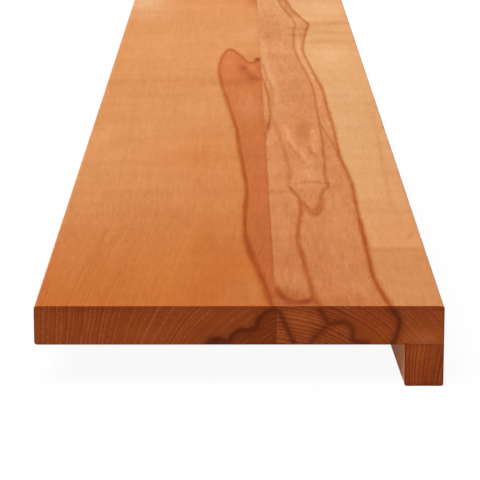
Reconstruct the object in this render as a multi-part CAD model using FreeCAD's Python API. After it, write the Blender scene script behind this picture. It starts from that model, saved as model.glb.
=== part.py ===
import FreeCAD, Part
import math
import os

# Window sill board of solid beech: two edge-glued staves and a drop nosing glued under the room edge.
# X runs from the window to the room, Y along the sill and Z up. The origin is below the middle of the sill,
# level with the underside of the nosing.

# Driving sizes, in millimetres
LENGTH = 1200.0
DEPTH = 200.0  # from the window edge to the room edge
THICKNESS = 19.5  # of the two staves, planed and sanded
FRONT_STAVE_WIDTH = 82.0  # the back stave takes the rest of the depth
NOSING_WIDTH = 18.5
NOSING_DROP = 21.0  # how far the nosing hangs below the staves
BOARD_ARRIS_RADIUS = 1.5  # rounding of the board's long outer edges
NOSING_ARRIS_RADIUS = 1.2  # rounding of the nosing's two lower edges
END_ARRIS = 0.5  # sanded bevel round both sawn ends

# Places that follow from the sizes
NEAR_END = -LENGTH / 2
BACK = -DEPTH / 2
FRONT = DEPTH / 2
UNDERSIDE = NOSING_DROP
TOP = UNDERSIDE + THICKNESS
STAVE_JOINT = FRONT - FRONT_STAVE_WIDTH
NOSING_BACK = FRONT - NOSING_WIDTH


def rounded_corner(before, corner, after, radius):
    """Tangent arc of this radius in the corner between two neighbouring points, or None if it stays sharp."""
    if radius == 0:
        return None
    to_before = (before - corner).normalize()
    to_after = (after - corner).normalize()
    half_angle = to_before.getAngle(to_after) / 2
    tangent_length = radius / math.tan(half_angle)
    inward = (to_before + to_after).normalize()
    arc_middle = corner + inward * (radius / math.sin(half_angle) - radius)
    return Part.Arc(corner + to_before * tangent_length, arc_middle, corner + to_after * tangent_length)


def rounded_outline(corners):
    """Closed wire across the near end through (x, z, radius) corners, each rounded to its radius."""
    points = [FreeCAD.Vector(x, NEAR_END, z) for x, z, radius in corners]
    arcs = []
    for i, (x, z, radius) in enumerate(corners):
        arcs.append(rounded_corner(points[i - 1], points[i], points[(i + 1) % len(points)], radius))
    edges = []
    for i, arc in enumerate(arcs):
        arc_before = arcs[i - 1]
        run_start = arc_before.EndPoint if arc_before else points[i - 1]
        run_end = arc.StartPoint if arc else points[i]
        edges.append(Part.LineSegment(run_start, run_end).toShape())
        if arc:
            edges.append(arc.toShape())
    return Part.Wire(edges)


def finished_sill():
    """The glued-up sill after planing and sanding: one L-shaped section along its length, with eased ends."""
    section = rounded_outline([
        (BACK, UNDERSIDE, BOARD_ARRIS_RADIUS),
        (NOSING_BACK, UNDERSIDE, 0),
        (NOSING_BACK, 0, NOSING_ARRIS_RADIUS),
        (FRONT, 0, NOSING_ARRIS_RADIUS),
        (FRONT, TOP, BOARD_ARRIS_RADIUS),
        (BACK, TOP, BOARD_ARRIS_RADIUS),
    ])
    sill = Part.Face(section).extrude(FreeCAD.Vector(0, LENGTH, 0))
    end_edges = [edge for edge in sill.Edges if edge.BoundBox.YLength < LENGTH / 2]
    return sill.makeChamfer(END_ARRIS, end_edges)


def piece_between(sill, low_x, high_x, low_z, high_z):
    """The piece of the sill that lies between these glue planes and outer faces."""
    region = Part.makeBox(
        high_x - low_x, LENGTH, high_z - low_z,
        FreeCAD.Vector(low_x, NEAR_END, low_z),
    )
    return sill.common(region).Solids[0]


sill = finished_sill()
pieces = {
    "back_stave": piece_between(sill, BACK, STAVE_JOINT, UNDERSIDE, TOP),
    "front_stave": piece_between(sill, STAVE_JOINT, FRONT, UNDERSIDE, TOP),
    "drop_nosing": piece_between(sill, NOSING_BACK, FRONT, 0, UNDERSIDE),
}
os.makedirs("parts", exist_ok=True)
for name, solid in pieces.items():
    solid.exportStep(f"parts/{name}.step")
    print(name, "valid", solid.isValid(), "volume", round(solid.Volume), "cubic millimetres")
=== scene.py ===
import math

import bmesh
import bpy
import numpy as np
from mathutils import Matrix, Vector


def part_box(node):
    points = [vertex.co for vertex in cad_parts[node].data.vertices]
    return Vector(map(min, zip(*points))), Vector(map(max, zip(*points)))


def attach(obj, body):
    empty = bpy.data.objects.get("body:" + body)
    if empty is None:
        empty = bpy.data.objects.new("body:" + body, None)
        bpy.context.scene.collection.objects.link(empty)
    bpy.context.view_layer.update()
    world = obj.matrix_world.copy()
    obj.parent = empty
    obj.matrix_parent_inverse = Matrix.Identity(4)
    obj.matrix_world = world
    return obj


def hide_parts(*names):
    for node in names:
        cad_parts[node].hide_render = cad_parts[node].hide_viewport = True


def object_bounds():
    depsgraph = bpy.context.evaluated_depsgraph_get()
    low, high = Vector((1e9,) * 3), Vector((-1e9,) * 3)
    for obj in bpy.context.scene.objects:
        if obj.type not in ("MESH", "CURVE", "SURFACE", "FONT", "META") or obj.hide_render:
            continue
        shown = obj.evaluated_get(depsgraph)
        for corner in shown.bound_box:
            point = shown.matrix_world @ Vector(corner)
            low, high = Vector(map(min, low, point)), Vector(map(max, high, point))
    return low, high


# Oiled red-heart beech window sill, seen along its length from one end.
# Objects are placed in metres. The wood's figure is drawn in millimetres of the same frame.

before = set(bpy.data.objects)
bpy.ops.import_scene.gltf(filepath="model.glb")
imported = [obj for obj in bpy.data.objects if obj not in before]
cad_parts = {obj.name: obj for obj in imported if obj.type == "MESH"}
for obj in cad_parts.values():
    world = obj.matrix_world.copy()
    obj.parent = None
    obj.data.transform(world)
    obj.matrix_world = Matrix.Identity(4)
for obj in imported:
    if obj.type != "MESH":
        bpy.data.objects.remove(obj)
cad_low, cad_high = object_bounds()
MM = 0.001
NEAR_END = cad_low.y / MM
FAR_END = cad_high.y / MM
BACK = cad_low.x / MM
FRONT = cad_high.x / MM
TOP = cad_high.z / MM
STAVE_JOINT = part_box("front_stave")[0].x / MM
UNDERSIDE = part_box("front_stave")[0].z / MM
NOSING_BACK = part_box("drop_nosing")[0].x / MM

# The camera, found from the board's converging edges in the photograph
PHOTO_PIXELS = 480
SENSOR_WIDTH = 36.0
FOCAL_PIXELS = 2387
CAMERA_PITCH = math.radians(13.022)
CAMERA_YAW = math.radians(0.072)
CAMERA_PLACE = Vector((-1.0, NEAR_END - 1122.8, TOP + 292.7))
CAMERA_TURN = Matrix.Rotation(-CAMERA_YAW, 4, "Z") @ Matrix.Rotation(math.pi / 2 - CAMERA_PITCH, 4, "X")
CAMERA_SIGHT = 100.0  # in metres

# The dark heart lines. "top" and "end" are photograph pixels, traced on the top face and on the near end
# face. Where a line stops short of the near end, its "end" is another line of that face. "lean" is how many
# millimetres a line runs sideways from the top down to the underside. "width" and "strength" are those of its
# dark core. "shade" is the reach of the soft shade beside it, which lies on the line's left as its points
# run, or on its right where the reach is negative.
BACK_LINES = {
    "heart_line": {
        "top": [
            (263, 57), (260, 59), (255, 62), (248, 62), (240, 55), (230, 49), (222, 57), (219, 70), (222, 86),
            (230, 110), (236, 128), (238.5, 145), (241, 159), (243, 170), (245.5, 182), (246, 193),
            (245, 207), (244.5, 222), (244.5, 233), (247, 244), (251, 256), (257, 269), (262.5, 281),
            (267.5, 293), (272, 306),
        ],
        "end": [
            (278, 308), (272, 309), (266, 312), (259, 318), (256, 326), (249, 330), (240, 330), (232, 335),
            (227.5, 341.5), (222, 339.5), (216, 338.5), (211, 341), (207, 347),
        ],
        "lean": -32, "width": 2.4, "strength": 0.95, "shade": -4.0,
    },
    "heart_foot": {
        "top": [(246, 240), (249.5, 250), (254.5, 262), (258.5, 271), (263.5, 284), (269.5, 299)],
        "width": 3.0, "strength": 0.85, "shade": 3.0,
    },
}
FRONT_LINES = {
    "outer_line": {
        "top": [
            (391, 306), (387, 300), (378.5, 287), (371.5, 270), (368, 255), (365.5, 240), (361.3, 226),
            (357.8, 211), (354.8, 197), (352.3, 184), (346.3, 170), (339.5, 155), (336.5, 141), (332, 122),
            (327, 106), (322.5, 89), (315, 75), (307.5, 61), (303, 50), (304, 40), (306.5, 30), (308.5, 24),
            (302, 18.5), (297, 14), (291, 8.5), (286.5, 1.5), (282, -6),
        ],
        "end": [(391, 347), (395, 339), (398.5, 329), (400, 320), (395, 312), (389, 305)],
        "lean": 1, "width": 2.4, "strength": 0.88, "shade": 4.0,
    },
    "outer_foot": {
        "top": [
            (359.6, 219), (362.2, 230), (366.5, 248), (369.5, 262), (374, 278), (382.5, 294), (391, 307),
        ],
        "width": 2.3, "strength": 1.25, "shade": 4.0,
    },
    "outer_far": {
        "top": [(282, -6), (286.5, 1.5), (290, 7)],
        "width": 3.0, "strength": 0.7, "shade": 3.0,
    },
    "tongue_line": {
        "top": [
            (288.5, 186), (299, 198), (307, 206.5), (315, 210), (320, 204), (322.5, 192), (328, 186),
            (325, 176), (324, 158), (322, 138), (319, 121), (316, 106), (314, 92), (307.5, 75), (299, 60),
            (294, 47), (294, 31), (295, 24), (291.5, 17.5), (287, 12.5), (283, 8), (279.5, 2), (276, -5),
        ],
        "end": [
            (317, 304), (320, 309), (324, 316), (329, 324), (338, 322.5), (347, 323), (353, 330), (353, 338),
            (359, 342), (370, 345),
        ],
        "lean": 6, "width": 2.1, "strength": 0.68, "shade": 2.5,
    },
    "tongue_left": {
        "top": [(271, 117), (275, 126), (281, 141), (286.5, 157), (289.5, 173), (288.5, 181), (288, 187)],
        "width": 2.6, "strength": 0.42, "shade": 2.5,
    },
    "tongue_shade": {
        "top": [(302, 203), (309, 211), (316, 214.5), (321, 208), (323, 199)],
        "end": [(329, 324), (321, 331), (313, 340), (309, 347)],
        "lean": 6, "width": 3.0, "strength": 0.6, "shade": 2.5,
    },
    "tongue_far": {
        "top": [(276, -5), (279.5, 2), (283, 8), (287, 12.5), (291.5, 18)],
        "width": 3.2, "strength": 0.75, "shade": 3.0,
    },
    "joint_line": {
        "top": [
            (260, 73), (263, 80), (265.5, 87), (268, 95), (269, 104), (270.5, 116), (269, 124), (266, 132),
            (265, 142),
        ],
        "end": [(270, 308), (274, 309.5), (280, 313), (284.5, 323), (289, 333), (295, 346)],
        "lean": 8, "width": 2.0, "strength": 0.75, "shade": 2.0,
    },
    "joint_twin": {
        "top": [(262.5, 64), (266, 74), (269, 81), (271.5, 88), (272, 96), (272, 106)],
        "width": 1.2, "strength": 0.5, "shade": 1.5,
    },
    "link_line": {
        "top": [(319, 121), (325, 132), (331, 141), (339, 154)],
        "width": 1.5, "strength": 0.6, "shade": 1.0,
    },
    "loop_line": {
        "top": [
            (300.5, 200), (300.5, 213), (298, 227), (298, 241), (302, 255), (306, 270), (310.5, 284),
            (313, 294), (309, 300), (296, 302), (285, 297), (276, 288),
        ],
        "lean": 5, "width": 2.7, "strength": 0.82, "shade": 3.0,
    },
    "loop_foot": {
        "top": [(312, 292), (316, 300), (319, 306)],
        "width": 3.2, "strength": 0.75, "shade": 3.0,
    },
    "loop_hook": {
        "top": [(276, 289), (281, 295.5), (287, 300), (292.5, 302)],
        "width": 3.6, "strength": 0.8, "shade": 3.0,
    },
}

# Soft streaks on the top face: photograph pixels, half width in millimetres, and how much darker or lighter
JOINT_EDGE = [(263, 38), (264, 52), (267.5, 66), (271.5, 79), (275, 91), (276, 103)]
BACK_STREAKS = {
    "band across the heart": ([(222, 83), (240, 81), (262, 81)], 14, 0.14),
    "dark mark in the heart": ([(244, 66), (246, 71.5), (250, 75), (256, 78), (261, 80)], 5, 0.18),
    "band across the plain wood": ([(112, 83), (170, 79), (216, 80)], 16, 0.07),
    "far bands": ([(130, 22), (190, 24), (258, 20)], 16, 0.04),
    "dark streak on the left": ([(105, 226), (101, 243), (95, 258), (87, 275), (79, 292)], 1.3, 0.10),
    "fainter streak beside it": ([(113, 236), (108, 256), (101, 274), (94, 292)], 1.2, 0.06),
    "far dark streak": ([(134, 104), (131, 122), (129, 142)], 1.2, 0.06),
}
FRONT_STREAKS = {
    "cream edge along the joint": (JOINT_EDGE, 2.8, -0.06),
    "light feather": (
        [(285, 124), (288.5, 138), (294, 145), (300, 150.5), (305, 157), (309, 165)], 1.6, -0.24,
    ),
    "light feather by the tongue's side": ([(313.5, 130), (314.5, 140), (314.5, 152)], 1.7, -0.22),
    "first dark dash": ([(287.5, 141), (292.5, 148.5)], 1.1, 0.22),
    "second dark dash": ([(294, 151), (300, 157.5), (304, 163)], 1.1, 0.22),
    "third dark dash": ([(308, 146), (311, 152), (315, 157.5)], 1.2, 0.22),
    "light gap by the outer line": ([(329, 122), (333, 134), (337.5, 147)], 1.1, -0.22),
    "pale upper strip": ([(300, 38), (300, 50), (306, 64), (313, 79), (318, 91), (321, 106)], 3.2, -0.10),
    "red lower strip": ([(325, 134), (332, 152), (337, 173), (341, 186)], 4.5, 0.06),
    "streak inside the outer line": ([(343, 190), (348, 214), (352, 239), (357, 262)], 1.8, 0.05),
    "crack across the tongue": ([(304, 182.5), (315, 182), (326, 183.5)], 2.4, 0.30),
    "faint start of the crack": ([(292, 184), (304, 182.5)], 2.6, 0.12),
    "faint line left of the tongue": ([(269, 190.5), (278, 192.5), (289, 191)], 2.8, 0.14),
    "faint line right of the tongue": ([(329, 186), (340, 187.5), (352, 186)], 4.0, 0.12),
    "first far band": ([(309, 25), (325, 24), (345, 22)], 13, 0.17),
    "second far band": ([(307, 31), (328, 32.5), (349, 33)], 10, 0.12),
    "third far band": ([(309, 42), (330, 41.5), (352, 42.5)], 12, 0.11),
    "first far rung": ([(293, 28), (299, 29), (306, 28.5)], 6, 0.24),
    "second far rung": ([(294, 34.5), (300, 35.5), (305, 34.5)], 6, 0.24),
    "red strip between the far lines": ([(281, -4), (285, 3), (291, 11), (298, 17.5)], 4, 0.20),
    "line in the sapwood": ([(374, 115), (378, 140), (383, 166), (388, 190), (391, 208)], 1.2, 0.07),
    "redder edge of the sapwood": ([(368, 100), (377, 130), (383, 152), (390, 176)], 7, 0.06),
    "edge of the darker sapwood": ([(373, 250), (394, 249.5), (417, 248.5)], 5, 0.09),
}

# Soft oval patches: photograph pixels x, y, half width, half height, and how much darker, lighter or redder
BACK_PATCHES = {
    "dark knot": (257, 59.3, 2.6, 1.7, 0.95),
    "tail of the knot": (253.5, 62, 2.5, 1.6, 0.35),
    "far knot": (255, 0, 6, 6, 0.32),
    "brown mark in the heart": (243.5, 68, 4.4, 4, 0.24),
    "dark mark by the joint": (252, 78, 6.0, 3.0, 0.26),
    "red mark by the joint": (259, 67, 3, 3.5, 0.12),
    "light mark by the joint": (251, 68, 4.5, 3, -0.30),
    "pale heart": (247, 101, 13, 13, -0.17),
    "bright end of the heart": (229, 63, 8, 22, -0.14),
    "far plain wood": (160, 48, 70, 24, -0.08),
    "light wood near the middle": (168, 268, 28, 24, -0.10),
    "light wood on the left": (99, 141, 14, 13, -0.14),
    "light wood beside the heart": (203, 108, 16, 12, -0.08),
    "dark lower heart": (252, 158, 9, 26, 0.06),
    "dark heart above its foot": (260, 222, 8, 14, 0.09),
}
BACK_BLUSH = {
    "upper orange patch": (203, 241, 15, 15, 0.75),
    "lower orange patch": (222, 275, 16, 20, 0.7),
    "front orange patch": (199, 297, 18, 7, 0.5),
    "above the heart": (250, 54, 9, 5, 0.6),
    "beside the heart": (205, 154, 22, 28, 0.85),
    "along the heart line": (233, 158, 8, 26, 0.7),
    "far knot": (252, 2, 12, 10, 0.7),
    "left side": (48, 286, 8, 24, 0.4),
    "middle of the plain wood": (165, 162, 30, 22, 0.35),
}
BACK_CREAM = {
    "far corner": (146, 2, 20, 13, 1.0),
    "middle of the heart": (249, 106, 13, 14, 0.12),
    "between the heart line and the near edge": (254, 290, 8, 14, 0.12),
    "beside the heart's foot": (234, 290, 16, 14, 0.08),
    "far wood along the joint": (248, 28, 14, 20, 0.16),
    "far left": (163, 17, 24, 11, 0.11),
    "far middle": (205, 27, 16, 8, 0.10),
}
BACK_END_PATCHES = {
    "dark blob under the heart line": (216, 341.5, 5.5, 3, 0.6),
    "dark upper edge": (88, 308, 42, 5, 0.25),
    "light rings on the left": (50, 326, 12, 14, -0.10),
    "light lower middle": (138, 334, 50, 9, -0.18),
    "light upper right": (217, 318, 26, 10, -0.20),
}
FRONT_PATCHES = {
    "far red patch": (273, 28, 14, 13, 0.14),
    "light wood below the far red patch": (280, 48, 15, 6, -0.14),
    "tongue's dark middle": (305, 130, 8, 14, 0.19),
    "above the tongue": (303, 104, 9, 10, 0.08),
    "beside the loop": (340, 215, 20, 34, -0.10),
    "foot of the strip": (350, 270, 12, 16, -0.08),
    "tongue's dark side": (318, 163, 4, 9, 0.10),
    "tongue's pale foot": (309, 175, 8, 9, -0.20),
    "inside the loop": (288, 275, 12, 24, 0.06),
    "foot of the loop": (294, 295, 15, 7, 0.30),
    "heart colour across the joint": (276, 294, 7, 11, 0.24),
    "first smudge of the hook": (282.5, 298, 3, 1.8, 0.2),
    "second smudge of the hook": (293, 298.5, 4, 1.4, 0.2),
    "below the loop": (293, 304, 24, 2.8, 0.42),
    "dark end of the hook": (308.5, 300.8, 5.5, 2.6, 0.5),
    "near edge": (345, 303, 30, 6, 0.12),
    "far sapwood band": (332, 31, 24, 12, 0.05),
    "far sapwood": (325, 11, 18, 6, -0.08),
    "upper sapwood": (328, 57, 18, 11, -0.14),
    "joint mark": (268, 125, 2.6, 7, 0.42),
    "small mark in the sapwood": (410, 236, 2.2, 2.2, 0.22),
}
FRONT_BLUSH = {
    "far red patch": (273, 28, 14, 13, 0.5),
    "tongue's dark middle": (302, 130, 9, 17, 0.4),
    "near edge": (330, 302, 26, 8, 0.4),
    "heart colour across the joint": (277, 294, 8, 12, 0.5),
    "foot of the loop": (297, 297, 13, 7, 0.5),
    "far sapwood band": (332, 31, 24, 12, 0.2),
}
FRONT_CREAM = {
    "far end": (287, 8, 40, 34, 0.40),
    "far sapwood": (322, 10, 14, 8, 0.3),
}
FRONT_CREAM_STREAKS = {
    "along the joint": (JOINT_EDGE, 3.0, 0.25),
    "upper strip": ([(299, 40), (300, 50), (306, 64), (313, 79)], 3.2, 0.4),
}
FRONT_END_PATCHES = {
    "light lower corner": (424, 338, 20, 8, -0.53),
    "dark upper corner": (418, 313, 26, 6, 0.12),
    "light rings by the joint": (300, 321, 17, 14, -0.36),
    "light foot by the joint": (281, 337, 7, 7, -0.32),
    "light foot beside the loop": (380, 336, 10, 7, -0.14),
    "dark smudge": (358, 342, 9, 3, 0.45),
    "dark start of the outer line": (393, 310, 6, 5, 0.25),
    "darker wood beside the outer line": (370, 316, 13, 8, 0.09),
}
NOSING_END_PATCHES = {
    "dark inner edge": (406.5, 365, 2.5, 30, 0.2),
    "lighter middle": (421, 353, 13, 9, -0.29),
    "dark foot": (424, 385, 24, 2.5, 0.3),
}
SAP_STEP = (390, 247)  # a pixel of the row from which the sapwood is darker towards the near end
SAP_STEP_SHADE = 0.14
SAP_STEP_LENGTH = 3.0
JOINT_SHADE = 0.10  # the back stave is darker along the joint
JOINT_SHADE_REACH = 1.4
END_PAINTED_SHADE = 0.3  # painted shade: the nosing's long faces are darker near its sawn ends
END_PAINTED_SHADE_REACH = 14.0


def seen_on_plane(pixels, axis, level):
    """Places in millimetres where the camera sees photograph pixels on the plane at this level of an axis."""
    half = PHOTO_PIXELS / 2
    places = []
    for x, y in pixels:
        ray = (CAMERA_TURN @ Vector((x - half, half - y, -FOCAL_PIXELS))).normalized()
        places.append(CAMERA_PLACE + ray * ((level - CAMERA_PLACE[axis]) / ray[axis]))
    return np.array(places)


def on_top(pixels):
    """(x, y) in millimetres of photograph pixels that lie on the top face."""
    return seen_on_plane(pixels, 2, TOP)[:, [0, 1]]


def on_end(pixels):
    """(x, z) in millimetres of photograph pixels that lie on the near end face."""
    return seen_on_plane(pixels, 1, NEAR_END)[:, [0, 2]]


def make_camera():
    data = bpy.data.cameras.new("camera")
    data.sensor_width = SENSOR_WIDTH
    data.lens = FOCAL_PIXELS / PHOTO_PIXELS * SENSOR_WIDTH
    data.clip_end = CAMERA_SIGHT
    camera = bpy.data.objects.new("camera", data)
    camera.matrix_world = Matrix.Translation(CAMERA_PLACE * MM) @ CAMERA_TURN
    bpy.context.scene.collection.objects.link(camera)
    bpy.context.scene.camera = camera


# Pieces: copies of the solids, cut into a grid whose vertices hold the figure

CUT_ACROSS = 1.25 * MM
CUT_ALONG = 4 * MM
WELD_BELOW = 1e-6
FLAT_BELOW = math.radians(0.5)
SMOOTH_BELOW = math.radians(30)
ON_CUT = 1e-7
CUT_NORMALS = {0: Vector((1, 0, 0)), 2: Vector((0, 0, 1))}  # of the cuts across the x and z axes


def fine_copy(node):
    """A copy of a node's mesh, cut finely enough to hold the wood's figure on its vertices."""
    low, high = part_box(node)
    grid = bmesh.new()
    grid.from_mesh(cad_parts[node].data)
    bmesh.ops.remove_doubles(grid, verts=grid.verts, dist=WELD_BELOW)
    bmesh.ops.dissolve_limit(grid, angle_limit=FLAT_BELOW, verts=grid.verts, edges=grid.edges)
    for axis, normal in CUT_NORMALS.items():
        cells = round((high[axis] - low[axis]) / CUT_ACROSS)
        for i in range(1, cells):
            bmesh.ops.bisect_plane(
                grid, geom=[*grid.verts, *grid.edges, *grid.faces], dist=ON_CUT,
                plane_co=low.lerp(high, i / cells), plane_no=normal,
            )
    length = high.y - low.y
    long_edges = [edge for edge in grid.edges if edge.calc_length() > length / 2]
    bmesh.ops.subdivide_edges(grid, edges=long_edges, cuts=round(length / CUT_ALONG), use_grid_fill=True)
    mesh = bpy.data.meshes.new(node + "_wood")
    grid.to_mesh(mesh)
    grid.free()
    mesh.shade_smooth()
    mesh.set_sharp_from_angle(angle=SMOOTH_BELOW)
    piece = bpy.data.objects.new(node + "_wood", mesh)
    bpy.context.scene.collection.objects.link(piece)
    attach(piece, "root")
    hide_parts(node)
    return piece


END_FACE_DEPTH = 0.1  # vertices this near to the end plane belong to the end face


def places_of(piece):
    """Vertex places in millimetres, and which of them lie on the near end face."""
    places = np.zeros(len(piece.data.vertices) * 3)
    piece.data.vertices.foreach_get("co", places)
    places = places.reshape(-1, 3) / MM
    return places, places[:, 1] < NEAR_END + END_FACE_DEPTH


def from_ends(places):
    """Distance of each place from the nearer sawn end."""
    return np.minimum(places[:, 1] - NEAR_END, FAR_END - places[:, 1])


NOSING_EXTRA_AT_END = 0.6  # how much wider the nosing is than its solid, at its sawn ends
NOSING_EXTRA = 2.9  # and past the slant
NOSING_SLANT_LENGTH = 75.0


def slant_inner_face(piece):
    """Widens the nosing towards the wall behind its sawn ends, as the photograph shows it."""
    places, _ = places_of(piece)
    share = np.clip(from_ends(places) / NOSING_SLANT_LENGTH, 0, 1)
    extra = NOSING_EXTRA_AT_END + (NOSING_EXTRA - NOSING_EXTRA_AT_END) * share
    places[:, 0] -= extra * (FRONT - places[:, 0]) / (FRONT - NOSING_BACK)
    piece.data.vertices.foreach_set("co", (places * MM).ravel())
    piece.data.update()


def store(piece, name, values):
    """Stores one value for each vertex, for the material to read."""
    attribute = piece.data.attributes.new(name, "FLOAT", "POINT")
    attribute.data.foreach_set("value", np.asarray(values, np.float32))


# Figure

CURVE_STEPS = 6  # stretches between two traced points
PAST_END_GROWTH = 4.0  # a line's gap grows this much faster past its ends, so that it tapers away
OUT_OF_SIGHT = 60.0  # a gap at which nothing of a line shows
TIE = 1e-4  # gaps that differ by less count as equal
ALONG_GRAIN = np.array((1.0, 0.3))  # lines spread further along the grain than across it
LEAN_POWER = 1.5  # lines lean the more, the deeper they run


def smooth(points):
    """Points along a Catmull-Rom curve through the given points."""
    ends = np.vstack([2 * points[0] - points[1], points, 2 * points[-1] - points[-2]])
    share = np.arange(CURVE_STEPS)[:, None] / CURVE_STEPS
    stretches = []
    for before, start, stop, after in zip(ends, ends[1:], ends[2:], ends[3:]):
        stretches.append(0.5 * (
            2 * start
            + (stop - before) * share
            + (2 * before - 5 * start + 4 * stop - after) * share ** 2
            + (3 * start - before - 3 * stop + after) * share ** 3
        ))
    return np.vstack([*stretches, points[-1]])


def signed_gap(places, points):
    """Distance of each place from a smooth line through the points, positive on its left. Where two
    stretches are equally near, the one that the place lies further to the side of says which side it is."""
    line = smooth(points)
    gap = np.full(len(places), np.inf)
    side = np.zeros(len(places))
    for i, (start, stop) in enumerate(zip(line, line[1:])):
        along = stop - start
        length = np.hypot(*along)
        offset = places - start
        share = offset @ along / length ** 2
        away = np.hypot(*(offset - np.clip(share, 0, 1)[:, None] * along).T)
        if i == 0:
            away += PAST_END_GROWTH * length * np.maximum(-share, 0)
        if i == len(line) - 2:
            away += PAST_END_GROWTH * length * np.maximum(share - 1, 0)
        sideways = (along[0] * offset[:, 1] - along[1] * offset[:, 0]) / length
        nearer = away < gap - TIE
        equal = (away < gap + TIE) & (np.abs(sideways) > np.abs(side))
        gap = np.minimum(gap, away)
        side = np.where(nearer | equal, sideways, side)
    return np.clip(np.copysign(gap, side), -OUT_OF_SIGHT, OUT_OF_SIGHT)


def store_lines(piece, lines):
    """Stores each vertex's distance from each dark line, signed and unsigned, and returns the signed ones."""
    places, at_end = places_of(piece)
    depth_share = np.clip((TOP - places[:, 2]) / (TOP - UNDERSIDE), 0, 1)
    gaps = {}
    for name, line in lines.items():
        gap = np.full(len(places), OUT_OF_SIGHT)
        plan = places[:, :2] - np.outer(depth_share ** LEAN_POWER * line.get("lean", 0.0), (1, 0))
        gap[~at_end] = signed_gap(plan[~at_end] * ALONG_GRAIN, on_top(line["top"]) * ALONG_GRAIN)
        if "end" in line:
            gap[at_end] = signed_gap(places[at_end][:, [0, 2]], on_end(line["end"]))
        store(piece, name, gap)
        store(piece, name + "_away", np.abs(gap))
        gaps[name] = gap
    return gaps


def streaks(piece, traced):
    """Sum of soft streaks along lines traced on the top face."""
    places, at_end = places_of(piece)
    total = np.zeros(len(places))
    for points, half_width, amount in traced.values():
        gap = signed_gap(places[:, :2], on_top(points))
        total += amount * np.exp(-(gap / half_width) ** 2)
    total[at_end] = 0
    return total


def patches(piece, ovals):
    """Sum of soft oval patches on the top face."""
    places, at_end = places_of(piece)
    total = np.zeros(len(places))
    for x, y, half_width, half_height, amount in ovals.values():
        (middle_x, middle_y), (side_x, _), (_, far_y), (_, near_y) = on_top([
            (x, y), (x + half_width, y), (x, y - half_height), (x, y + half_height),
        ])
        across = (places[:, 0] - middle_x) / (side_x - middle_x)
        along = (places[:, 1] - middle_y) / ((far_y - near_y) / 2)
        total += amount * np.exp(-across ** 2 - along ** 2)
    total[at_end] = 0
    return total


def end_patches(piece, ovals):
    """Sum of soft oval patches on the near end face."""
    places, at_end = places_of(piece)
    total = np.zeros(len(places))
    for x, y, half_width, half_height, amount in ovals.values():
        (middle_x, middle_z), (side_x, _), (_, foot_z) = on_end([
            (x, y), (x + half_width, y), (x, y + half_height),
        ])
        across = (places[:, 0] - middle_x) / (side_x - middle_x)
        up = (places[:, 2] - middle_z) / (middle_z - foot_z)
        total += amount * np.exp(-across ** 2 - up ** 2)
    return np.where(at_end, total, 0)


# Materials

GREEN_DEPTH = 1.8  # power with which a tone works on green, where it works on red as it is
BLUE_DEPTH = 2.6

# Each noise in the wood: the size of its lumps along x, y and z in millimetres, its detail and its roughness
NOISES = {
    "drift": ((70, 220, 70), 2, 0.5),
    "ring waves": ((16, 160, 16), 2, 0.5),
    "ring wrinkles": ((3, 40, 3), 2, 0.5),
    "ring spacing": ((9, 1, 1), 2, 0.5),
    "ray": ((0.5, 1, 3.5), 2, 0.6),
    "line wander": ((5, 16, 5), 3, 0.65),
    "line swell": ((13, 50, 13), 2, 0.5),
    "line fade": ((6, 25, 6), 3, 0.5),
    "fibre": ((1, 30, 1), 3, 0.65),
    "feather": ((3.5, 28, 3.5), 3, 0.65),
    "streak": ((4, 190, 4), 3, 0.6),
    "cloud": ((38, 110, 38), 2, 0.5),
    "warmth": ((50, 130, 50), 2, 0.5),
    "flush": ((6, 45, 6), 2, 0.5),
    "ripple": ((90, 26, 30), 3, 0.5),
    "pore": ((1, 6, 1), 1, 0.5),
    "speck": ((1, 9, 1), 2, 0.7),
}


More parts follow.
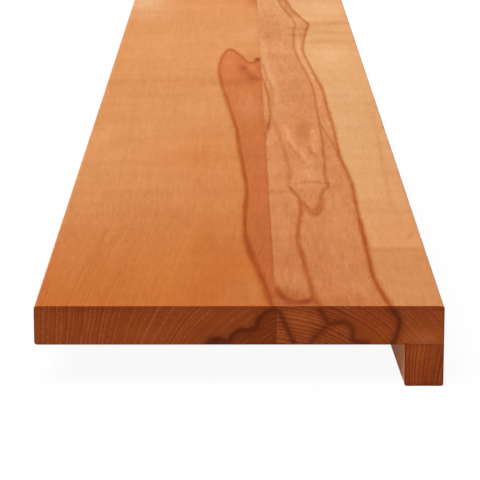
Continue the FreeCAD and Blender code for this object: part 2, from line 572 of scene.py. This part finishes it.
class Nodes:
    """Short forms for adding shader nodes to a material or world. Most give the new node's output."""

    def __init__(self, owner):
        owner.use_nodes = True
        self.tree = owner.node_tree

    def node(self, kind, inputs, output=0, **settings):
        made = self.tree.nodes.new(kind)
        for name, value in settings.items():
            setattr(made, name, value)
        for key, value in inputs.items():
            self.set(made.inputs[key], value)
        return made.outputs[output]

    def set(self, socket, value):
        if isinstance(value, bpy.types.NodeSocket):
            self.tree.links.new(value, socket)
        else:
            socket.default_value = value

    def math(self, operation, *values):
        return self.node("ShaderNodeMath", dict(enumerate(values)), operation=operation)

    def add(self, *values):
        total = values[0]
        for value in values[1:]:
            total = self.math("ADD", total, value)
        return total

    def times(self, *values):
        product = values[0]
        for value in values[1:]:
            product = self.math("MULTIPLY", product, value)
        return product

    def vector(self, operation, *values):
        return self.node("ShaderNodeVectorMath", dict(enumerate(values)), operation=operation)

    def scaled(self, vector, factor):
        return self.node("ShaderNodeVectorMath", {0: vector, "Scale": factor}, operation="SCALE")

    def tinted(self, colour, tint):
        """A colour times a brightness or another colour."""
        return self.node("ShaderNodeMix", {0: 1.0, 6: colour, 7: tint}, output=2,
                         data_type="RGBA", blend_type="MULTIPLY", clamp_result=False)

    def deepened(self, tone):
        """A tint that darkens green and blue more than red, as deeper wood colours do."""
        return self.join(tone, self.math("POWER", tone, GREEN_DEPTH), self.math("POWER", tone, BLUE_DEPTH))

    def join(self, x, y, z):
        return self.node("ShaderNodeCombineXYZ", {0: x, 1: y, 2: z})

    def parts(self, vector):
        return self.node("ShaderNodeSeparateXYZ", {0: vector}).node.outputs

    def noise(self, place, kind):
        """One of the noises of the wood, from -1 to 1."""
        sizes, detail, roughness = NOISES[kind]
        small = self.vector("DIVIDE", place, sizes)
        made = self.node(
            "ShaderNodeTexNoise", {"Vector": small, "Scale": 1.0, "Detail": detail, "Roughness": roughness},
        )
        return self.math("MULTIPLY_ADD", made, 2.0, -1.0)

    def ramp(self, value, low, high, start=0.0, stop=1.0):
        """Smooth step of a value from start at low to stop at high."""
        return self.node("ShaderNodeMapRange", {0: value, 1: low, 2: high, 3: start, 4: stop},
                         interpolation_type="SMOOTHSTEP")

    def mix(self, factor, first, second):
        return self.node("ShaderNodeMix", {0: factor, 6: first, 7: second}, output=2, data_type="RGBA")

    def stored(self, name):
        return self.node("ShaderNodeAttribute", {}, output="Fac", attribute_name=name)


def linear(red, green, blue):
    """A colour given as screen values up to 255, as the shader takes it."""
    values = []
    for value in (red, green, blue):
        share = value / 255
        values.append(share / 12.92 if share <= 0.04045 else ((share + 0.055) / 1.055) ** 2.4)
    return (*values, 1.0)


# Colours of the long grain, at the near end and further along
PLAIN_COLOURS = linear(201, 112, 47), linear(217, 144, 86)
HEART_COLOURS = linear(191, 100, 45), linear(202, 113, 59)
FRONT_COLOURS = linear(206, 127, 75), linear(214, 140, 88)
SAP_COLOURS = linear(219, 150, 95), linear(223, 164, 111)
NOSING_COLOURS = linear(202, 118, 60), linear(202, 118, 60)
CREAM_COLOUR = linear(226, 170, 121)
WALL_FACE_SHEEN_COLOUR = linear(212, 154, 116)  # the nosing's face towards the wall is paler and greyer: painted reflection of the white surroundings seen at a grazing angle
BLUSH_TINT = (0.97, 0.83, 0.68, 1)
LINE_TINT = (0.75, 0.48, 0.17, 1)
FADE_NEAR = NEAR_END + 20
FADE_FAR = NEAR_END + 430
FADE_SLANT = 0.7  # the paler colour starts this much later for each millimetre across the board

# Colours of the end grain
END_COLOUR = linear(136, 59, 14)
END_LIGHT_COLOUR = linear(178, 103, 66)
END_DARK_COLOUR = linear(113, 43, 1)
END_SAP_COLOUR = linear(140, 64, 22)
END_LINE_COLOUR = linear(82, 25, 0)
GLUE_COLOUR = linear(84, 34, 12)
ARRIS_PAINTED_SHADE = 0.75  # painted shade: the end's upright arrises are darker

# Strength of each kind of figure
STREAK_DEPTH = 0.03
CLOUD_DEPTH = 0.05
RIPPLE_DEPTH = 0.07
STORED_DEPTH = 0.6  # of the traced streaks and patches
SHADE_DEPTH = 0.40  # of the soft shade beside the dark lines
MOST_WARMTH = 0.3
RAY_DEPTH = 0.14
END_SPECK_DEPTH = 0.12
SMUDGE_DEPTH = 0.85  # of the dark lines on the end grain
TOP_EDGE_DEPTH = 0.35  # the end grain is darker along the top face
GLUE_DEPTH = 0.45
GLUE_ON_LONG_GRAIN = 0.12  # share of the glue line that shows there
FIGURE_LEFT = -60.0  # the rings show as fine lines on the top, most of all left of here
FIGURE_RIGHT = 0.0
FIGURE_SHARE_RIGHT = 0.3  # share of those fine lines on the right
FIGURE_SHARE_FAR = 0.45  # and further along
CLEAR_FADE = 20.0  # the rings on the end grain grow fainter over this width
CLEAR_LEAST = 0.4
LINES_FULL = NEAR_END + 350  # the dark lines are fainter further along
LINES_FAINT = NEAR_END + 750
LINES_FAINT_SHARE = 0.75

# Where soft steps start and end
PORE_STEP = (0.22, 0.50)
WARMTH_STEP = (0.0, 0.7)
END_CLOUD_STEP = (-0.5, 0.6, 0.9, 1.05)  # with the tones at both ends
BROKEN_STEP = (-0.25, 0.2, 0.05, 1.1)  # light rings are broken up by the rays
ZONE_STEP = (-0.5, 0.9)
TOP_EDGE_STEP = (TOP - 3.0, TOP - 0.8)
GLUE_STEP = (0.1, 0.5)
WALL_FACE_SHEEN_STEP = (-0.9, -0.6)  # how far a face turns to one side, as the next two
ARRIS_SHADE_STEP = (0.4, 0.6)
END_STEP = (0.3, 0.65)

# Sideways drift of the grain, and shifts that take two of the noises from another place
DRIFT = 5.0
NEAR_SLANT = 12.0  # how far the back stave's grain runs sideways towards the near end
SLANT_LENGTH = 220.0
WARMTH_SHIFT = (300, 0, 0)
FLUSH_SHIFT = (0, 500, 0)

# Growth rings of each piece, and how strongly its figure shows
ALL_CLEAR = 1000.0  # beyond the board, so that the rings on its end stay clear everywhere
BACK_RINGS = {"start_x": BACK + NEAR_SLANT, "width": 120, "lean": 1.7, "power": 1.5}
FRONT_RINGS = {"pith_x": STAVE_JOINT, "pith_z": TOP - 62, "rise": 0.02}
NOSING_RINGS = {"start_x": NOSING_BACK, "width": 18, "lean": 0.22, "power": 1}
BACK_TEXTURE = {
    "fibre": 0.08, "pores": 0.02, "mottle": 0.05, "flush": 0.05, "speck": 0.13, "ring_width": 2.0,
    "ring_light": 0.7, "ring_shade": 0.2, "clear_until": ALL_CLEAR, "figure": 0.08, "slant": NEAR_SLANT,
}
FRONT_TEXTURE = {
    "fibre": 0.14, "pores": 0.12, "mottle": 0.15, "flush": 0.35, "speck": 0.13, "ring_width": 1.9,
    "ring_light": 0.9, "ring_shade": 0.6, "clear_until": 44.0, "figure": 0.02, "slant": 0.0,
}
NOSING_TEXTURE = {
    "fibre": 0.16, "pores": 0.03, "mottle": 0.05, "flush": 0.05, "speck": 0.10, "ring_width": 1.8,
    "ring_light": 0.5, "ring_shade": 0.7, "clear_until": ALL_CLEAR, "figure": 0.02, "slant": 0.0,
}

# The wood on one side of a dark line, with its own share of the lively texture and of the light rings
BACK_ZONE = {
    "line": "heart_line", "side": 1, "colours": HEART_COLOURS, "end_colour": END_DARK_COLOUR,
    "lively": 1.4, "rings": 0.6,
}
FRONT_ZONE = {
    "line": "outer_line", "side": -1, "colours": SAP_COLOURS, "end_colour": END_SAP_COLOUR,
    "lively": 0.25, "rings": 1.0,
}

# Oiled surface
SATIN_ROUGHNESS = 0.30
END_ROUGHNESS = 0.70
FIBRE_ROUGHNESS = 0.05
OIL_IOR = 1.2
FIBRE_RELIEF = 0.5
PORE_RELIEF = -0.6
BUMP_STRENGTH = 0.15
BUMP_DISTANCE = 0.1 * MM


def round_rings(pith_x, pith_z, rise):
    """Rings as circles about a pith, which rises by so much along each millimetre of the board."""
    def rings(n, x, y, z):
        across = n.math("SUBTRACT", x, pith_x)
        up = n.math("SUBTRACT", z, n.math("MULTIPLY_ADD", y, rise, pith_z))
        radius = n.math("SQRT", n.add(n.times(across, across), n.times(up, up)))
        around = n.times(n.math("ARCTAN2", across, up), TOP - pith_z)
        return radius, around
    return rings


def leaning_rings(start_x, width, lean, power):
    """Rings that stand upright at start_x and lean over more and more, by this lean a width further on."""
    def rings(n, x, y, z):
        share = n.math("MAXIMUM", n.math("DIVIDE", n.math("SUBTRACT", x, start_x), width), 0.0)
        height = n.math("SUBTRACT", z, (TOP + UNDERSIDE) / 2)
        radius = n.math("SUBTRACT", x, n.times(n.math("POWER", share, power), lean, height))
        around = n.add(height, n.times(n.math("POWER", share, power + 1), lean * width / (power + 1)))
        return radius, around
    return rings


RING_WAVES = 0.9  # in millimetres, as the next two
RING_WRINKLES = 0.35
RING_UNEVENNESS = 4.0
RING_EDGE_POWER = 3.0
PALEST_YEAR = (0.9, 0.1)  # each year's share of the pale starts: spread and least
DARKEST_YEAR = (-0.7, 1.0)  # and of the dark ends: spread and most
RAY_STRETCH = 0.05  # rays are long along the board


def growth_rings(n, place, drift, rings, ring_width):
    """Pale starts and dark ends of the yearly rings, and the rays that cross them."""
    x, y, z = n.parts(place)
    radius, around = rings(n, n.add(x, drift), y, z)
    waves = n.times(n.noise(place, "ring waves"), RING_WAVES)
    wrinkles = n.times(n.noise(place, "ring wrinkles"), RING_WRINKLES)
    radius = n.add(radius, n.add(waves, wrinkles))
    uneven = n.noise(n.join(radius, 0.0, 0.0), "ring spacing")
    count = n.math("DIVIDE", n.add(radius, n.times(uneven, RING_UNEVENNESS)), ring_width)
    ring = n.math("FRACT", count)
    year = n.node("ShaderNodeTexWhiteNoise", {"W": n.math("FLOOR", count)}, noise_dimensions="1D")
    ray = n.noise(n.join(around, n.times(y, RAY_STRETCH), radius), "ray")
    start = n.math("POWER", n.math("SUBTRACT", 1.0, ring), RING_EDGE_POWER)
    pale = n.times(start, n.math("MULTIPLY_ADD", year, *PALEST_YEAR))
    end = n.math("POWER", ring, RING_EDGE_POWER)
    dark = n.times(end, n.math("MULTIPLY_ADD", year, *DARKEST_YEAR))
    return pale, dark, ray


WANDER_SHARE = 0.8
FIBRE_SHARE = 0.4
MOST_WOBBLE = WANDER_SHARE + FIBRE_SHARE
SWELL_SHARE = 0.6
FADE_LEVEL = 0.9
FADE_SHARE = 0.5
NARROW_SMUDGE = (0.3, 1.9, 0.6, 0.0)  # from and to so many millimetres, and how strong there
WIDE_SMUDGE_START = 0.5
WIDE_SMUDGE_WIDTHS = 1.9  # the wide smudge reaches so many widths of its line
WIDE_SMUDGE_STRENGTH = 0.4


def heart_lines(n, place, fibre, lines):
    """How strongly the dark lines, the soft shade beside them and their smudges on the end grain show, and
    the wavering distance from each line."""
    wander = n.noise(place, "line wander")
    wobble = n.add(n.times(wander, WANDER_SHARE), n.times(fibre, FIBRE_SHARE))
    swell = n.add(1.0, n.times(n.noise(place, "line swell"), SWELL_SHARE))
    _, y, _ = n.parts(place)
    faint = n.ramp(y, LINES_FULL, LINES_FAINT, 1.0, LINES_FAINT_SHARE)
    fade = n.times(n.add(FADE_LEVEL, n.times(n.noise(place, "line fade"), FADE_SHARE)), faint)
    cores = 0.0
    shades = 0.0
    smudges = 0.0
    gaps = {}
    for name, line in lines.items():
        width = line["width"]
        strength = line["strength"]
        reach = line["shade"]
        gap = n.add(n.stored(name), wobble)
        least_away = n.math("SUBTRACT", n.stored(name + "_away"), MOST_WOBBLE)
        away = n.math("MAXIMUM", n.math("ABSOLUTE", gap), least_away)
        soft_side = n.ramp(n.times(gap, math.copysign(1.0, reach)), -width, 0.0)
        shade = n.times(n.ramp(away, 0.0, abs(reach), 1.0, 0.0), soft_side, strength)
        away = n.math("DIVIDE", away, swell)
        core = n.times(n.ramp(away, 0.0, width, 1.0, 0.0), strength, fade)
        wide = n.ramp(away, WIDE_SMUDGE_START, width * WIDE_SMUDGE_WIDTHS, WIDE_SMUDGE_STRENGTH, 0.0)
        smudge = n.times(n.add(n.ramp(away, *NARROW_SMUDGE), wide), n.math("SQRT", strength))
        cores = n.math("MAXIMUM", cores, core)
        shades = n.math("MAXIMUM", shades, shade)
        smudges = n.math("MAXIMUM", smudges, smudge)
        gaps[name] = gap
    return cores, shades, smudges, gaps


def wood(name, plain, rings, texture, lines, zone=None, wall_face_sheen=None):
    """Oiled beech with its rings, its dark lines and the zone on one side of a line. The last argument is the
    colour of faces towards the wall, where it differs: a paler, greyer colour that is painted reflection."""
    material = bpy.data.materials.new(name)
    n = Nodes(material)
    surface = n.tree.nodes["Principled BSDF"]
    place = n.scaled(n.node("ShaderNodeTexCoord", {}, output="Object"), 1 / MM)
    x, y, z = n.parts(place)
    facing_x, facing_y, _ = n.parts(n.node("ShaderNodeTexCoord", {}, output="Normal"))
    slant = n.ramp(y, NEAR_END, NEAR_END + SLANT_LENGTH, texture["slant"], 0.0)
    drift = n.add(n.times(n.noise(place, "drift"), DRIFT), slant)
    grain = n.join(n.add(x, drift), y, z)
    pale, dark, ray = growth_rings(n, place, drift, rings, texture["ring_width"])

    # Long fibres, broad tone changes, pores and faint ripples across the board
    fibre = n.noise(grain, "fibre")
    feather = n.noise(grain, "feather")
    streak = n.noise(grain, "streak")
    flush = n.noise(n.vector("ADD", grain, FLUSH_SHIFT), "flush")
    cloud = n.noise(place, "cloud")
    warmth = n.noise(n.vector("ADD", place, WARMTH_SHIFT), "warmth")
    ripple = n.noise(place, "ripple")
    pore = n.ramp(n.noise(grain, "pore"), *PORE_STEP)
    speck = n.noise(place, "speck")
    line, shade, smudge, gaps = heart_lines(n, place, fibre, lines)

    # Colours of the plain wood and of the zone
    far = n.ramp(n.math("SUBTRACT", y, n.times(x, FADE_SLANT)), FADE_NEAR, FADE_FAR)
    colour = n.mix(far, *plain)
    end_colour = n.tinted(END_COLOUR, n.ramp(cloud, *END_CLOUD_STEP))
    lively = 1.0
    ring_share = 1.0
    if zone:
        inside = n.ramp(n.times(gaps[zone["line"]], zone["side"]), *ZONE_STEP)
        lively = n.ramp(inside, 0.0, 1.0, 1.0, zone["lively"])
        ring_share = n.ramp(inside, 0.0, 1.0, 1.0, zone["rings"])
        colour = n.mix(inside, colour, n.mix(far, *zone["colours"]))
        end_colour = n.mix(inside, end_colour, zone["end_colour"])
    # painted reflection: faces towards the wall take a paler, greyer colour
    if wall_face_sheen:
        colour = n.mix(n.ramp(facing_x, *WALL_FACE_SHEEN_STEP, 1.0, 0.0), colour, wall_face_sheen)

    # Long grain
    warm = n.ramp(warmth, *WARMTH_STEP, 0.0, MOST_WARMTH)
    blush = n.add(n.stored("blush"), warm, n.times(flush, lively, texture["flush"]))
    blush = n.math("MAXIMUM", blush, 0.0)
    colour = n.mix(blush, colour, n.tinted(colour, BLUSH_TINT))
    colour = n.mix(n.stored("cream"), colour, CREAM_COLOUR)
    figure_across = n.ramp(x, FIGURE_LEFT, FIGURE_RIGHT, 1.0, FIGURE_SHARE_RIGHT)
    figure_share = n.times(figure_across, n.ramp(far, 0.0, 1.0, 1.0, FIGURE_SHARE_FAR))
    tone = n.add(
        1.0,
        n.times(streak, STREAK_DEPTH),
        n.times(fibre, lively, texture["fibre"]),
        n.times(cloud, CLOUD_DEPTH),
        n.times(ripple, RIPPLE_DEPTH),
        n.times(feather, lively, texture["mottle"]),
        n.times(n.math("SUBTRACT", pale, dark), figure_share, texture["figure"]),
        n.times(pore, lively, -texture["pores"]),
        n.times(speck, texture["speck"]),
        n.times(n.stored("tone"), -STORED_DEPTH),
    )
    colour = n.tinted(colour, n.deepened(tone))
    colour = n.mix(n.times(shade, SHADE_DEPTH), colour, n.tinted(colour, LINE_TINT))
    colour = n.mix(line, colour, n.tinted(colour, LINE_TINT))

    # End grain
    clear = n.ramp(x, texture["clear_until"], texture["clear_until"] + CLEAR_FADE, 1.0, CLEAR_LEAST)
    end_tone = n.add(
        1.0,
        n.times(ray, RAY_DEPTH),
        n.times(speck, END_SPECK_DEPTH),
        n.times(dark, clear, -texture["ring_shade"]),
        n.times(n.stored("end_tone"), -STORED_DEPTH),
    )
    end_colour = n.tinted(end_colour, n.deepened(end_tone))
    broken = n.ramp(ray, *BROKEN_STEP)
    light_rings = n.times(pale, broken, clear, ring_share, texture["ring_light"])
    end_colour = n.mix(light_rings, end_colour, END_LIGHT_COLOUR)
    end_colour = n.mix(n.times(smudge, SMUDGE_DEPTH), end_colour, END_LINE_COLOUR)
    top_edge = n.ramp(z, *TOP_EDGE_STEP, 0.0, TOP_EDGE_DEPTH)
    end_colour = n.mix(top_edge, end_colour, END_DARK_COLOUR)
    # painted shade on the end's upright arrises
    arris_painted_shade = n.ramp(n.math("ABSOLUTE", facing_x), *ARRIS_SHADE_STEP, 1.0, ARRIS_PAINTED_SHADE)
    end_colour = n.tinted(end_colour, n.deepened(arris_painted_shade))

    # Both grains, the glue line and the oiled surface
    end_share = n.ramp(n.math("ABSOLUTE", facing_y), *END_STEP)
    colour = n.mix(end_share, colour, end_colour)
    glue = n.ramp(n.stored("glue_gap"), *GLUE_STEP, GLUE_DEPTH, 0.0)
    glue = n.times(glue, n.ramp(end_share, 0.0, 1.0, GLUE_ON_LONG_GRAIN, 1.0))
    colour = n.mix(glue, colour, GLUE_COLOUR)
    n.set(surface.inputs["Base Color"], colour)
    roughness = n.ramp(end_share, 0.0, 1.0, SATIN_ROUGHNESS, END_ROUGHNESS)
    n.set(surface.inputs["Roughness"], n.add(roughness, n.times(fibre, FIBRE_ROUGHNESS)))
    height = n.add(n.times(fibre, FIBRE_RELIEF), n.times(pore, PORE_RELIEF), n.times(pale, end_share))
    relief = {"Height": height, "Strength": BUMP_STRENGTH, "Distance": BUMP_DISTANCE}
    n.set(surface.inputs["Normal"], n.node("ShaderNodeBump", relief))
    surface.inputs["IOR"].default_value = OIL_IOR
    return material


def back_stave():
    piece = fine_copy("back_stave")
    places, _ = places_of(piece)
    store_lines(piece, BACK_LINES)
    from_joint = STAVE_JOINT - places[:, 0]
    joint_shade = JOINT_SHADE * np.exp(-(from_joint / JOINT_SHADE_REACH) ** 2)
    store(piece, "tone", streaks(piece, BACK_STREAKS) + patches(piece, BACK_PATCHES) + joint_shade)
    store(piece, "blush", patches(piece, BACK_BLUSH))
    store(piece, "cream", patches(piece, BACK_CREAM))
    store(piece, "end_tone", end_patches(piece, BACK_END_PATCHES))
    store(piece, "glue_gap", from_joint)
    piece.data.materials.append(wood(
        "back_stave_beech", PLAIN_COLOURS, leaning_rings(**BACK_RINGS), BACK_TEXTURE,
        lines=BACK_LINES, zone=BACK_ZONE,
    ))


def front_stave():
    piece = fine_copy("front_stave")
    places, _ = places_of(piece)
    gaps = store_lines(piece, FRONT_LINES)
    _, step_y = on_top([SAP_STEP])[0]
    past_step = np.clip((step_y - places[:, 1]) / SAP_STEP_LENGTH, 0, 1)
    sap_step = SAP_STEP_SHADE * past_step * np.clip(-gaps["outer_line"], 0, 1)
    store(piece, "tone", streaks(piece, FRONT_STREAKS) + patches(piece, FRONT_PATCHES) + sap_step)
    store(piece, "blush", patches(piece, FRONT_BLUSH))
    store(piece, "cream", patches(piece, FRONT_CREAM) + streaks(piece, FRONT_CREAM_STREAKS))
    store(piece, "end_tone", end_patches(piece, FRONT_END_PATCHES))
    over_nosing = np.where(places[:, 0] > NOSING_BACK, places[:, 2] - UNDERSIDE, OUT_OF_SIGHT)
    store(piece, "glue_gap", np.minimum(places[:, 0] - STAVE_JOINT, over_nosing))
    piece.data.materials.append(wood(
        "front_stave_beech", FRONT_COLOURS, round_rings(**FRONT_RINGS), FRONT_TEXTURE,
        lines=FRONT_LINES, zone=FRONT_ZONE,
    ))


def drop_nosing():
    piece = fine_copy("drop_nosing")
    slant_inner_face(piece)
    places, _ = places_of(piece)
    # painted shade: the long faces are darker near the sawn ends
    store(piece, "tone", END_PAINTED_SHADE * np.exp(-(from_ends(places) / END_PAINTED_SHADE_REACH) ** 2))
    store(piece, "blush", np.zeros(len(places)))
    store(piece, "cream", np.zeros(len(places)))
    store(piece, "end_tone", end_patches(piece, NOSING_END_PATCHES))
    store(piece, "glue_gap", UNDERSIDE - places[:, 2])
    piece.data.materials.append(wood(
        "nosing_beech", NOSING_COLOURS, leaning_rings(**NOSING_RINGS), NOSING_TEXTURE,
        lines={}, wall_face_sheen=WALL_FACE_SHEEN_COLOUR,
    ))


# Studio

WHITE = (1, 1, 1, 1)
FLOOR_REACH = 20.0
FLOOR_LEVEL = -0.05 * MM  # just below the foot, so that the two faces don't coincide
FLOOR_COLOUR = (0.85, 0.85, 0.85, 1)
FLOOR_ROUGHNESS = 0.9
FLOOR_WHITENESS = 0.94  # the rest of what the camera sees there is lit, and so keeps the shadow
ROOM_LIGHT = 0.03
HORIZON_LIGHT = 0.25
HORIZON_LOW = 0.03
HORIZON_HIGH = 0.15
SUN_FROM = (-0.35, -0.45, 1.0)
SUN_STRENGTH = 3.5
SUN_SOFTNESS = math.radians(40)
FAR_LAMP = {"place": (0, 0.9, 1.5), "aim": (0, 0.9, 0), "size": 1.5, "watts": 12}
LOW_FILL = {"place": (-1.6, -0.35, 0.04), "aim": (0.08, -0.56, 0.01), "size": 0.08, "watts": 6}


def make_floor():
    corners = []
    for side_x, side_y in ((-1, -1), (1, -1), (1, 1), (-1, 1)):
        corners.append((side_x * FLOOR_REACH, side_y * FLOOR_REACH, FLOOR_LEVEL))
    mesh = bpy.data.meshes.new("floor")
    mesh.from_pydata(corners, [], [(0, 1, 2, 3)])
    floor = bpy.data.objects.new("floor", mesh)
    bpy.context.scene.collection.objects.link(floor)
    material = bpy.data.materials.new("white_floor")
    n = Nodes(material)
    surface = n.tree.nodes["Principled BSDF"]
    surface.inputs["Base Color"].default_value = FLOOR_COLOUR
    surface.inputs["Roughness"].default_value = FLOOR_ROUGHNESS
    surface.inputs["Specular IOR Level"].default_value = 0.0
    glow = n.node("ShaderNodeEmission", {"Color": WHITE, "Strength": 1.0})
    seen = n.times(n.node("ShaderNodeLightPath", {}, output="Is Camera Ray"), FLOOR_WHITENESS)
    mixed = n.node("ShaderNodeMixShader", {0: seen, 1: surface.outputs[0], 2: glow})
    n.set(n.tree.nodes["Material Output"].inputs["Surface"], mixed)
    mesh.materials.append(material)


def make_sun():
    data = bpy.data.lights.new("sun", "SUN")
    data.energy = SUN_STRENGTH
    data.angle = SUN_SOFTNESS
    sun = bpy.data.objects.new("sun", data)
    sun.rotation_euler = Vector(SUN_FROM).to_track_quat("Z", "Y").to_euler()
    bpy.context.scene.collection.objects.link(sun)


def make_lamp(name, place, aim, size, watts):
    data = bpy.data.lights.new(name, "AREA")
    data.size = size
    data.energy = watts
    lamp = bpy.data.objects.new(name, data)
    lamp.visible_camera = False
    lamp.location = place
    lamp.rotation_euler = (Vector(place) - Vector(aim)).to_track_quat("Z", "Y").to_euler()
    bpy.context.scene.collection.objects.link(lamp)


def make_room():
    """A dim room that is brightest along the horizon, and white where the camera looks past the floor."""
    world = bpy.data.worlds.new("studio")
    bpy.context.scene.world = world
    n = Nodes(world)
    upward = n.parts(n.node("ShaderNodeTexCoord", {}, output="Generated"))[2]
    glow = n.ramp(n.math("ABSOLUTE", upward), HORIZON_LOW, HORIZON_HIGH, HORIZON_LIGHT, 0.0)
    room = n.node("ShaderNodeBackground", {"Color": WHITE, "Strength": n.add(glow, ROOM_LIGHT)})
    white = n.node("ShaderNodeBackground", {"Color": WHITE, "Strength": 1.0})
    seen = n.node("ShaderNodeLightPath", {}, output="Is Camera Ray")
    mixed = n.node("ShaderNodeMixShader", {0: seen, 1: room, 2: white})
    n.set(n.tree.nodes["World Output"].inputs["Surface"], mixed)


make_camera()
back_stave()
front_stave()
drop_nosing()
make_floor()
make_room()
make_sun()
make_lamp("far_lamp", **FAR_LAMP)
make_lamp("low_fill", **LOW_FILL)
bpy.context.scene.view_settings.view_transform = "Standard"
